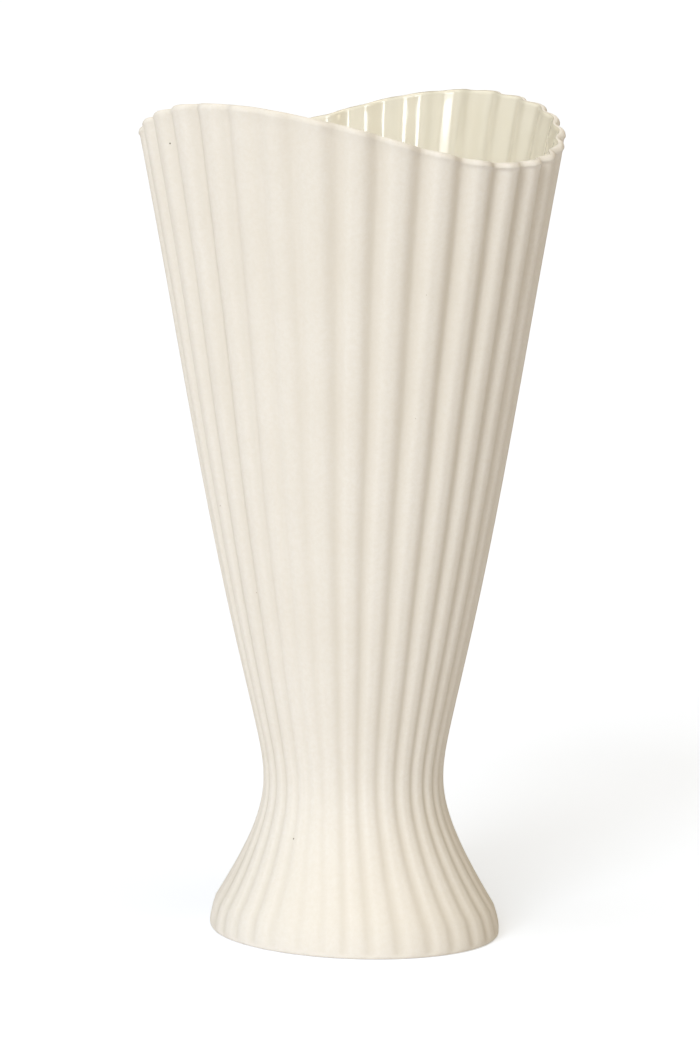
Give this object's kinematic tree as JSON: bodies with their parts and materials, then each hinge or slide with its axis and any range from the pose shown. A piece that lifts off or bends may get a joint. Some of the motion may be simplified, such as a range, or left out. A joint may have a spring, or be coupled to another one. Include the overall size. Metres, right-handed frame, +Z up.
{
  "type": "fan vase",
  "caption": "Tall oval vase with upright flutes, a narrow waist above a spread foot and a wavy lip, matt stoneware outside, glossy glaze inside.",
  "frame": {"origin": "centre of the standing ring, in the plane of the table", "axes": "+Z up, +X along the oval's long axis where the lip is low, +Y towards a broad face where the lip is high"},
  "size_m": [0.167, 0.15, 0.32],
  "materials": {
    "stoneware": "matt unglazed, fine grain, a few dark iron specks",
    "clear_glaze": "clear gloss over cream clay"
  },
  "bodies": {
    "root": {"stoneware_body": "stoneware", "inner_glaze": "clear_glaze"}
  },
  "joints": []
}
